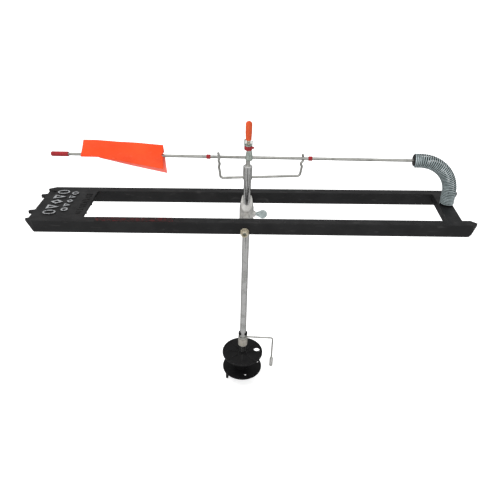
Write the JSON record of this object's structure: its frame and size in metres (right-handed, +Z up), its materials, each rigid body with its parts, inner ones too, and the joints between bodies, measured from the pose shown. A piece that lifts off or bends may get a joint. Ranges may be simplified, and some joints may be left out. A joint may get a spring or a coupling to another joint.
{
  "type": "ice fishing tip-up",
  "caption": "Ice fishing tip-up: a black ladder frame with a folding tube and under-ice line spool, a wire trigger bail, and an orange flag on a spring-mounted staff.",
  "frame": {"origin": "middle of the frame's underside, the face that rests on the ice, in the middle of its opening", "axes": "+X along the frame towards the flag spring, +Y across the frame towards the flag staff's side, +Z up from the ice"},
  "size_m": [0.4481, 0.0884, 0.3341],
  "materials": {
    "frame_plastic": "moulded, fine grain",
    "mark_grey": "moulded marks",
    "strip_red": "printed strip",
    "relief_light": "inked tops",
    "black_plastic": "semi-gloss",
    "zinc_spring": "zinc plated",
    "dark_plastic": "plain",
    "cast_zinc": "die cast, sanded",
    "plain_steel": "plain",
    "brass_plate": "yellow zinc plated",
    "tube_steel": "polished",
    "nylon": "plain",
    "black_rubber": "plain",
    "seal_amber": "translucent",
    "wire_steel": "drawn wire",
    "clip_zinc": "dull plated",
    "band_red": "dipped vinyl",
    "grip_orange": "soft vinyl",
    "flag_orange": "fluorescent vinyl sheet"
  },
  "bodies": {
    "frame": {"ladder_frame": "frame_plastic", "ruler_marks": "mark_grey", "rail_strip": "strip_red", "plate_relief": "relief_light", "pivot_spacers": "black_plastic", "flag_spring": "zinc_spring", "spring_anchor": "dark_plastic", "anchor_screw": "plain_steel"},
    "pivot": {"pivot_block": "cast_zinc", "pivot_studs": "plain_steel", "pivot_washers": "brass_plate", "pivot_nuts": "brass_plate"},
    "clamp_screw": {"thumb_screw": "plain_steel"},
    "column": {"support_tube": "tube_steel", "upper_bushing": "nylon", "lower_bushing": "nylon", "retaining_ring": "black_rubber", "seal_sleeve": "seal_amber", "line_guide": "wire_steel"},
    "trip": {"trip_shaft": "wire_steel", "trip_hub": "tube_steel", "trigger_bail": "wire_steel", "trip_head": "clip_zinc", "trip_band": "band_red", "grip_clip": "clip_zinc", "grip_rivet": "brass_plate", "trip_grip": "grip_orange", "drive_hub": "tube_steel", "spool_washer": "plain_steel", "spool_nut": "plain_steel"},
    "spool": {"line_spool": "black_plastic", "crank_peg": "black_plastic"},
    "flag_arm": {"staff_plug": "dark_plastic", "flag_staff": "wire_steel", "staff_tip": "band_red", "staff_collars": "band_red", "flag": "flag_orange"}
  },
  "joints": [
    {"name": "tube_fold", "type": "hinge", "parent": "frame", "child": "pivot", "pos_m": [-0.0025, 0, 0.003], "axis": [0, 1, 0], "range_deg": [0, 78]},
    {"name": "clamp_screw_turn", "type": "hinge", "parent": "pivot", "child": "clamp_screw", "pos_m": [0.00748, 0, 0.00222], "axis": [0.9993, 0, -0.0384], "continuous": true},
    {"name": "tube_slide", "type": "slide", "parent": "pivot", "child": "column", "axis": [0.0384, 0, 0.9993], "range_m": [-0.019, 0.012]},
    {"name": "trip_turn", "type": "hinge", "parent": "column", "child": "trip", "pos_m": [-0.00262, 0, 0], "axis": [0.0384, 0, 0.9993], "range_deg": [0, 150]},
    {"name": "spool_spin", "type": "hinge", "parent": "trip", "child": "spool", "pos_m": [-0.01053, 0, -0.20605], "axis": [0.0384, 0, 0.9993], "continuous": true},
    {"name": "flag_release", "type": "hinge", "parent": "frame", "child": "flag_arm", "pos_m": [0.19582, 0.0064, 0.05246], "axis": [0, 1, 0], "range_deg": [0, 89.25], "deforming": ["flag_spring"]}
  ]
}
